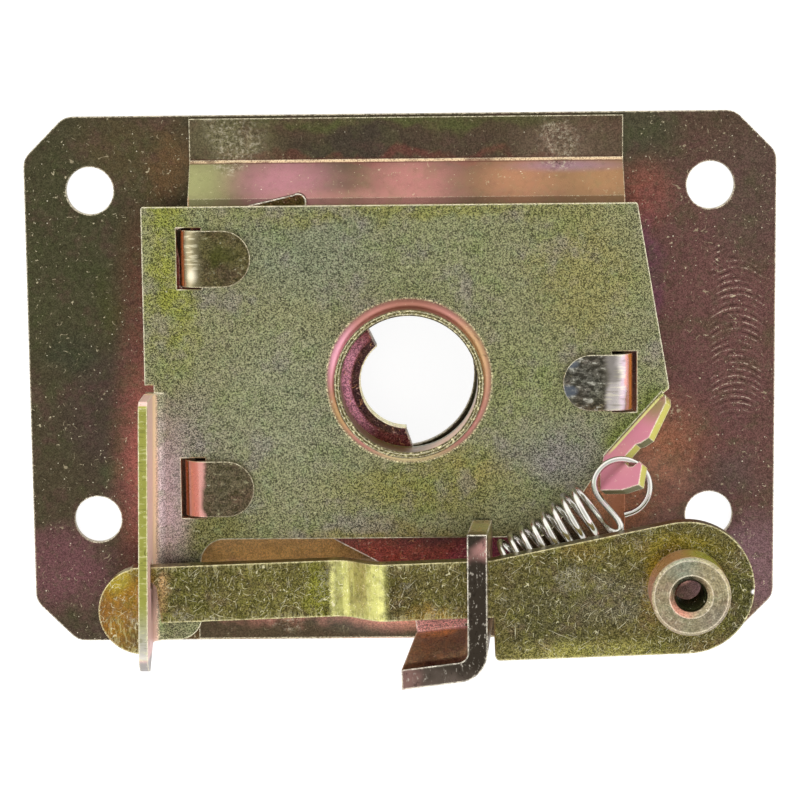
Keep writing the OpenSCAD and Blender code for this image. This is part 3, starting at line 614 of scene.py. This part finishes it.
def latch_finish():
    """Zinc plate passivated yellow on thick blanked plate: dark red flats, brown walls, grey sheared ends."""
    f = Finish("zinc_plated_blanked_plate", "5A2E2C")
    y, z = f.axis(1), f.axis(2)
    f.stains([
        ((-6, 0, 11), (9, 14, 4), "6A3A34", 0.9), ((-4, -13, 11), (9, 6, 4), "6E3420", 0.8),
        ((0, -29, 11), (20, 6, 4), "8E4034", 0.9), ((14, -30, 11), (8, 8, 4), "98405A", 0.8),
        ((-10, 30, 11), (20, 4, 4), "6A4A34", 0.9),
    ])
    f.cut_edges("A89A6C", 0.5)
    f.stains([
        # The tail's very pale pink patch at (7, -41) is painted light
        ((7, -41, 11), (9, 4.5, 3), "FFC4C8", 1.0), ((6, -45, 16), (9, 4, 7), "88522C", 1.0),
        ((6, -43.5, 13.5), (9, 3, 3), "D8904C", 1.0), ((6, -47, 24), (9, 5, 6), "472B18", 1.0),
        ((14, -34, 20), (4.5, 16, 8), "9A8460", 1.0), ((13, -23.5, 20), (4, 2.5, 9), "8E8A54", 0.9),
    ])
    # Round the notch: a rolled edge painted dark, a painted reflection, then a band painted pink as a
    # highlight
    away = f.from_axis(*NOTCH_AXIS)
    low = f.fit(z, LATCH_TOP + 0.9, LATCH_TOP + 0.4)
    ring = f.both(f.fit(away, NOTCH_R + 1.3, NOTCH_R + 1.9), f.fit(away, NOTCH_R + 3.8, NOTCH_R + 2.8), low)
    f.tint(f.both(ring, f.even((-8.5, -1, 11), (7, 12, 5), 0.3)), "C88698", 0.9)
    f.tint(f.both(f.fit(away, NOTCH_R + 1.6, NOTCH_R + 1.2), low), "3E2C2C", 0.9)
    f.tint(f.both(f.band(away, NOTCH_R - 0.1, NOTCH_R + 0.15, 0.08), low), "EAD9A0", 1.0)
    # The lower tail is painted a light pink, painted light that lightens its shade, and what lies deep in the
    # lock is made less shiny
    tail = f.even((7, -41.5, 10), (11, 4.5, 3.2), 0.6)
    f.tint(tail, "E09C92", 0.9)
    deep = f.both(f.fit(y, -20, -24), f.fit(z, LEG_TOP - 1.7, LEG_TOP - 3.2))
    f.dull(deep)
    f.tint(f.even((-20, 30, 11), (9, 3, 4), 0.5), "3A3618", 0.85)
    f.mottle(3, "6A5030", "7A3A40", 0.22)
    f.grain(0.15, dark=0.5, bright=1.6, relief=0.004)
    wall_streaks = f.streaks(0.7, (1, 0.1, 0.12), 2, 0.6, shift=18)
    inner_wall = f.both(f.fit(z, LATCH_TOP + 0.3, LATCH_TOP + 0.8), deep)
    f.tint(f.both(inner_wall, f.fit(wall_streaks, 0.55, 0.62)), "B0784A", 0.3)
    f.curls(1.6, 0.1, "D89A62", 0.55, share=0.54)
    f.curls(1.0, 0.09, "E4B6A0", 0.5, share=0.56, shift=9)
    # The sheared ends of the strip: near black along the leg, greyer round the corner
    top = f.fit(z, LEG_TOP - 0.3, LEG_TOP - 0.1)
    f.tint(top, "3A332B", 1.0)
    f.tint(f.both(top, f.near((10, -52, 27), (12, 10, 3), 0.3)), "786A60", 0.85)
    f.tint(f.both(top, f.near((1, -48, 27), (4, 6, 3), 0.3)), "8E6E66", 0.8)
    f.tint(f.both(top, f.near((13, -25, 27), (4, 3, 3), 0.2)), "C29088", 0.8)
    streaks = f.streaks(0.5, (1, 0.5, 1), 3, 0.7, shift=5)
    f.tint(f.both(top, f.fit(streaks, 0.6, 0.68)), "C9C0B0", 0.6)
    f.tint(f.both(top, f.fit(streaks, 0.4, 0.34)), "1C1814", 0.5)
    f.worn_and_highlit_edges(0.5, "F4ECD8", 1.0, torn=0.35)
    return f.close(smooth=0.26, rough=0.4)


def lever_finish():
    """Zinc plate passivated yellow on pressed bar: dark olive-gold, speckled and finely scratched."""
    f = Finish("zinc_plated_pressed_bar", "645C36")
    f.stains([
        ((-47, -36, 18), (7, 12, 9), "A0742E", 1.0), ((-50, -41, 18), (4, 8, 9), "8A5A2C", 0.8),
        ((-48, -30, 18), (4, 4, 9), "BCA63C", 0.8), ((-39, -34, 18), (2.2, 4.5, 9), "C8A070", 0.8),
        ((-35, -35, 18), (6, 9, 9), "5E5A30", 0.8), ((-20, -34, 18), (12, 7, 9), "706A38", 0.8),
        ((-14, -34, 20), (3, 8, 9), "808030", 0.8), ((-2, -33, 22), (7, 8, 9), "564C2E", 0.9),
        ((5, -37, 23), (7, 3, 9), "A8823A", 0.7), ((-6, -37, 23), (4, 3, 9), "9A9478", 0.6),
        ((24, -38, 24), (12, 12, 9), "585438", 0.8), ((34, -35, 24), (8, 6, 9), "6A6450", 0.8),
        ((22, -45, 24), (9, 4, 9), "7C6C58", 0.6), ((40.5, -31, 24), (3, 6, 9), "A08C2C", 0.9),
        ((44, -25.5, 24), (12, 3, 9), "8A7C30", 0.8), ((39.6, -36, 24), (2.5, 6, 9), "6E5A30", 0.6),
        ((30, -27, 24), (7, 3.5, 9), "7E6A34", 0.5), ((50, -43, 24), (7, 2, 9), "6C5A3A", 0.6),
        ((56, -36, 24), (5, 12, 9), "4E4C2C", 0.9),
    ])
    # The joggle's face is painted bright, a painted highlight, brightest at its two bends
    x = f.axis(0)
    joggle_highlight = f.both(f.fit(x, -12.4, -11.0), f.fit(x, -1.6, -3.4))
    f.tint(joggle_highlight, "B4B26A", 0.95)
    for low, high in ((-11.9, -11.1), (-3.8, -2.9)):
        f.tint(f.band(x, low, high, 0.4), "F0EC96", 0.8)
    # A green-gold band along the wide end's lower edge
    f.tint(f.even((31, -43.5, 24), (19, 3.6, 9), 0.3), "98924E", 0.85)
    f.mottle(4, "66662C", "6E5A4A", 0.42)
    f.mottle(1.3, "8A8442", "312D1A", 0.42)
    head = f.even((-48, -35, 18), (8, 10, 9), 0.8)
    calm = f.either(f.math("MULTIPLY", joggle_highlight, 0.85), f.math("MULTIPLY", head, 0.6))
    f.grain(0.15, dark=0.4, bright=1.6, relief=0.004, calm=calm)
    f.specks(1.1, 0.18, "E6DCB0", 0.7)
    f.specks(0.9, 0.18, "22200F", 0.6, shift=17)
    f.curls(1.9, 0.08, "EEE6BC", 0.7, share=0.54)
    # A nick in the wide end's rim, painted white as a highlight
    nick = f.even((57.4, -33.2, 24.4), (0.9, 0.6, 1.2), 0.5)
    f.tint(nick, "FBF6F2", 1.0)
    f.lift(nick, -0.3)
    f.specks(0.55, 0.13, "D8D09C", 0.5, shift=43)
    for turn, length in ((86, 3), (-38, 4), (24, 5), (-68, 3)):
        f.hairlines(turn, length, 0.14, "E6DFBC", 0.7, share=0.71)
    # Scuffed patches
    scuff = f.fit(f.cloud(6, 2, 0.5, shift=71), 0.6, 0.7)
    scratchy = f.fit(f.cloud(0.35, 3, 0.8, shift=5), 0.5, 0.56)
    f.tint(f.both(scuff, scratchy), "B0AA96", 0.5)
    # The shear has left short marks across the arm's two long edges
    arm_x, arm_y, arm_rise = -42.2, -34.2, 0.0314
    rise = f.math("MULTIPLY", f.math("SUBTRACT", x, arm_x), arm_rise)
    across = f.math("SUBTRACT", f.math("SUBTRACT", f.axis(1), arm_y), rise)
    rim = f.both(f.fit(f.math("ABSOLUTE", across), 3.0, 4.4), f.fit(x, 14, 12))
    comb = f.streaks(0.3, (1, 0.15, 0.15), 1, 0.5, shift=37)
    f.tint(f.both(rim, f.fit(comb, 0.54, 0.62)), "C9C08A", 0.4)
    f.tint(f.both(rim, f.fit(comb, 0.44, 0.36)), "35301A", 0.3)
    f.cut_edges("8C7C48", 0.5)
    f.worn_and_highlit_edges(0.5, "E0D6A6", 0.95, torn=0.3)
    return f.close(smooth=0.26, rough=0.4)


def bush_finish():
    """Zinc plate passivated yellow on turned free-cutting steel: pale straw, ringed by the lathe."""
    f = Finish("zinc_plated_turned_steel", "978A6C")
    z = f.axis(2)
    away = f.from_axis(*BUSH_AXIS)
    f.stains([
        ((44, -36, 30), (5, 5, 9), "8E8A6E", 0.7), ((51, -30, 30), (4, 5, 9), "A89C78", 0.8),
        ((45, -28, 30), (5, 4, 9), "8E9480", 0.8), ((50, -37, 30), (4, 4, 9), "8A8272", 0.7),
    ])
    f.mottle(2.5, "8E9472", "A68A78", 0.4)
    f.mottle(0.9, "C9BEA0", "50472F", 0.45)
    # The mouth of the bore is pink at the lower left
    mouth = f.fit(away, BUSH_BORE_R + 1.2, BUSH_BORE_R + 0.9)
    f.glows(mouth, [((44.5, -34.5, 31), (3.5, 3.5, 9), "C98C78", 0.9)], 0.2)
    # The side is redder at the left and greener at the top
    wall = f.both(f.fit(away, BUSH_R - 0.5, BUSH_R - 0.2), f.fit(z, BUSH_TOP - 0.3, BUSH_TOP - 0.7))
    f.tint(wall, "9A6C48", 1.0)
    f.glows(wall, [((49, -27, 28), (5, 4, 9), "8E9030", 0.9), ((40, -32, 28), (3, 5, 9), "B07868", 0.9)], 0.2)
    f.dull(wall)
    # The bore is painted dark green, painted shade, and pink at its upper left, painted light
    bore = f.fit(away, BUSH_BORE_R + 0.25, BUSH_BORE_R + 0.1)
    bore = f.both(bore, f.fit(z, BUSH_TOP - 0.4, BUSH_TOP - 1.0))
    f.tint(bore, "34351F", 1.0)
    f.glows(bore, [((44.4, -31, 27), (2.6, 2.4, 7), "B06A58", 0.9)], 0.3)
    f.grain(0.22, dark=0.75, bright=1.22, relief=0.003)
    # The lathe's rings, fainter here and there
    ring_pitch = 0.42
    rings = f.math("SINE", f.math("MULTIPLY", away, 2 * math.pi / ring_pitch))
    faint = f.fit(f.cloud(2.2, 2, shift=3), 0.4, 0.6, 0.2, 1.0)
    f.shade(f.fit(f.math("MULTIPLY", rings, faint), -1, 1, 0.9, 1.1))
    f.lift(rings, 0.001)
    f.specks(1.1, 0.25, "4A3F2C", 0.6)
    f.curls(1.2, 0.09, "E6DCC0", 0.5, share=0.56)
    f.worn_and_highlit_edges(0.5, "F0E2CC", 0.95, torn=0.5, whole=bore)
    return f.close(smooth=0.24, rough=0.36)


def spring_finish():
    """Bright drawn spring wire with a thin clear zinc: silvery, smooth, faintly rainbow."""
    f = Finish("bright_drawn_spring_wire", "C4C2BA")
    f.mottle(1.6, "BFCBB4", "D6BABE", 0.5)
    f.specks(1.6, 0.2, "6E6A60", 0.5)
    return f.close(smooth=0.16, rough=0.26)


for node_name, finish in (
    ("base_plate", base_plate_finish), ("bracket", bracket_finish), ("cover_plate", cover_finish),
    ("latch", latch_finish), ("lever", lever_finish), ("lever_boss", bush_finish),
):
    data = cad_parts[node_name].data
    data.materials.clear()
    data.materials.append(finish())

# Return spring: close coils that widen towards the ring, hooked into the latch's leg and onto the cover's tab
WIRE_R = 0.53
COILS = 8
COIL_STEPS = 20
COIL_R = 3.45
COIL_GROWTH = 0.95
WIDENS_FROM = 0.45
FIRST_TURN = math.radians(-90)
HOOK_HOLE = Vector((12.993, -32.6, 17.4))
COIL_START = HOOK_HOLE + Vector((4.1, 3.1, 0))
COIL_END = Vector((31.3, -19.9, 18.0))
RING_AT = Vector((36.1, -16.95, 17.4))
RING_R = 4.65
RING_DEGREES = range(168, -85, -14)


def unselect_all():
    bpy.ops.object.select_all(action="DESELECT")


def close_ends():
    """The active piece's ends are joined to it and filled, so that it is one closed skin."""
    bpy.ops.object.mode_set(mode="EDIT")
    bpy.ops.mesh.select_all(action="SELECT")
    bpy.ops.mesh.remove_doubles(threshold=0.001 * MM)
    bpy.ops.mesh.select_all(action="SELECT")
    bpy.ops.mesh.fill_holes(sides=0)
    bpy.ops.mesh.select_all(action="SELECT")
    bpy.ops.mesh.normals_make_consistent(inside=False)
    bpy.ops.object.mode_set(mode="OBJECT")


def spring_route():
    """The wire's middle line, in millimetres: hook, coils, the strand back up, and the open ring."""
    run = COIL_END - COIL_START
    ahead = run.normalized()
    side = Vector((-ahead.y, ahead.x, 0))
    up = Vector((0, 0, 1))
    hook = [(-2.6, 2.6), (-3.0, 1.5), (-2.6, 0.5), (-1.5, 0.0), (0.0, 0.0), (1.5, 0.0)]
    route = [HOOK_HOLE + Vector((x, y, 0)) for x, y in hook]
    lead_back, lead_aside = 0.6, 2.9
    route.append(COIL_START - ahead * lead_back - side * lead_aside)
    steps = COILS * COIL_STEPS
    for step in range(steps + 1):
        done = step / steps
        late = max(0.0, (done - WIDENS_FROM) / (1 - WIDENS_FROM))
        coil_r = COIL_R + COIL_GROWTH * late * late * (3 - 2 * late)
        angle = FIRST_TURN + 2 * math.pi * COILS * done
        route.append(COIL_START + run * done + (up * math.cos(angle) + side * math.sin(angle)) * coil_r)
    route += [Vector(place) for place in (
        (34.7, -24.3, 19.2), (36.0, -24.0, 19.6), (35.9, -22.6, 18.9), (34.4, -20.9, 18.0),
        (32.8, -19.2, 17.4), (31.7, -17.6, 17.4),
    )]
    for degrees in RING_DEGREES:
        turn = math.radians(degrees)
        route.append(RING_AT + Vector((math.cos(turn), math.sin(turn), 0)) * RING_R)
    return route


def wire_piece(name, route, radius):
    """A round wire along a route in millimetres: a curve with a round section, made a mesh."""
    unselect_all()
    bpy.ops.curve.primitive_nurbs_path_add(location=(0, 0, 0))
    wire = bpy.context.object
    wire.name = name
    curve = wire.data
    curve.splines.clear()
    line = curve.splines.new("NURBS")
    line.points.add(len(route) - 1)
    for point, place in zip(line.points, route):
        point.co = (*(place * MM), 1)
    line.order_u = 4
    line.use_endpoint_u = True
    line.resolution_u = 2
    curve.dimensions = "3D"
    curve.bevel_depth = radius * MM
    curve.bevel_resolution = 3
    curve.use_fill_caps = True
    bpy.ops.object.convert(target="MESH")
    close_ends()
    bpy.ops.object.shade_smooth_by_angle(angle=math.radians(50))
    return wire


spring = wire_piece("coiled_spring", spring_route(), WIRE_R)
spring.data.materials.clear()
spring.data.materials.append(spring_finish())
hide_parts("return_spring")
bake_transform(spring)

# Thread in the bush: one ridge wound up the bore. RIDGE holds its corners, out from the wall and along it
THREAD_BOTTOM = 21.98
PITCH = 1.0
THREAD_TURNS = 8
THREAD_STEPS = 28
RIDGE = ((0.02, 0.36), (0.02, -0.36), (-0.24, 0))
unselect_all()
bpy.ops.mesh.primitive_circle_add(vertices=len(RIDGE), radius=MM, fill_type="NGON", location=(0, 0, 0))
thread = bpy.context.object
thread.name = "bush_thread_ridge"
for corner, (out, along) in zip(thread.data.vertices, RIDGE):
    corner.co = ((BUSH_BORE_R + out) * MM, 0, along * MM)
winding = thread.modifiers.new("winding", "SCREW")
winding.axis = "Z"
winding.angle = 2 * math.pi
winding.screw_offset = PITCH * MM
winding.iterations = THREAD_TURNS
winding.steps = winding.render_steps = THREAD_STEPS
winding.use_smooth_shade = False
bpy.ops.object.modifier_apply(modifier=winding.name)
close_ends()
thread.location = Vector((*BUSH_AXIS, THREAD_BOTTOM)) * MM
bpy.ops.object.transform_apply(location=True, rotation=False, scale=False)
thread.data.materials.append(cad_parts["lever_boss"].data.materials[0])
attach(thread, "lever_arm")

# Studio: a pale tent, brighter low down at its sides but even to the camera, and a white floor
SIDE_LIGHT = 1.9
TOP_LIGHT = 0.95
# Heights on a dome of radius 1 between which the sides' light gives way to the top's
SIDES_END = 0.55
TOP_BEGINS = 0.97
FLOOR_HALF = 3000 * MM
FLOOR_DROP = 0.3 * MM
FLOOR_GLOW = 0.88
FLOOR_GREY = 0.3
WHITE = (1, 1, 1, 1)

world = bpy.data.worlds.new("pale_tent")
scene.world = world
world.use_nodes = True
tent = world.node_tree
tent.nodes.clear()
towards = add(tent, "ShaderNodeTexCoord").outputs["Generated"]
height = add(tent, "ShaderNodeSeparateXYZ", None, {0: towards}).outputs[2]
light = add(tent, "ShaderNodeMapRange", {"interpolation_type": "SMOOTHSTEP"}, {
    "Value": height, "From Min": SIDES_END, "From Max": TOP_BEGINS,
    "To Min": SIDE_LIGHT, "To Max": TOP_LIGHT,
}).outputs["Result"]
to_camera = add(tent, "ShaderNodeLightPath").outputs["Is Camera Ray"]
strength = add(tent, "ShaderNodeMix", {"data_type": "FLOAT"}, {0: to_camera, 2: light, 3: 1.0}).outputs[0]
background = add(tent, "ShaderNodeBackground", None, {"Color": WHITE, "Strength": strength})
tent.links.new(background.outputs[0], add(tent, "ShaderNodeOutputWorld").inputs["Surface"])

floor_mesh = bpy.data.meshes.new("floor")
corners = [(x * FLOOR_HALF, y * FLOOR_HALF, 0) for x, y in ((-1, -1), (1, -1), (1, 1), (-1, 1))]
floor_mesh.from_pydata(corners, [], [(0, 1, 2, 3)])
floor = bpy.data.objects.new("floor", floor_mesh)
floor.location.z = -FLOOR_DROP
scene.collection.objects.link(floor)
paper = bpy.data.materials.new("white_paper_floor")
paper.use_nodes = True
sheet = paper.node_tree
sheet.nodes.clear()
# It glows to the eye and in reflections, but lights nothing by itself
rays = add(sheet, "ShaderNodeLightPath").outputs
seen = calculate(sheet, "MAXIMUM", rays["Is Camera Ray"], rays["Is Glossy Ray"])
seen = calculate(sheet, "MAXIMUM", seen, rays["Is Transmission Ray"])
glow = add(sheet, "ShaderNodeEmission", None, {
    "Color": WHITE, "Strength": calculate(sheet, "MULTIPLY", seen, FLOOR_GLOW),
})
matt = add(sheet, "ShaderNodeBsdfDiffuse", None, {"Color": (FLOOR_GREY, FLOOR_GREY, FLOOR_GREY, 1)})
opaque = add(sheet, "ShaderNodeAddShader", None, {0: glow.outputs[0], 1: matt.outputs[0]})
# From below the camera looks through the floor, at the lock's back
from_below = add(sheet, "ShaderNodeNewGeometry").outputs["Backfacing"]
unseen = calculate(sheet, "MULTIPLY", from_below, rays["Is Camera Ray"])
clear = add(sheet, "ShaderNodeBsdfTransparent")
surface = add(sheet, "ShaderNodeMixShader", None, {0: unseen, 1: opaque.outputs[0], 2: clear.outputs[0]})
sheet.links.new(surface.outputs[0], add(sheet, "ShaderNodeOutputMaterial").inputs["Surface"])
floor_mesh.materials.append(paper)
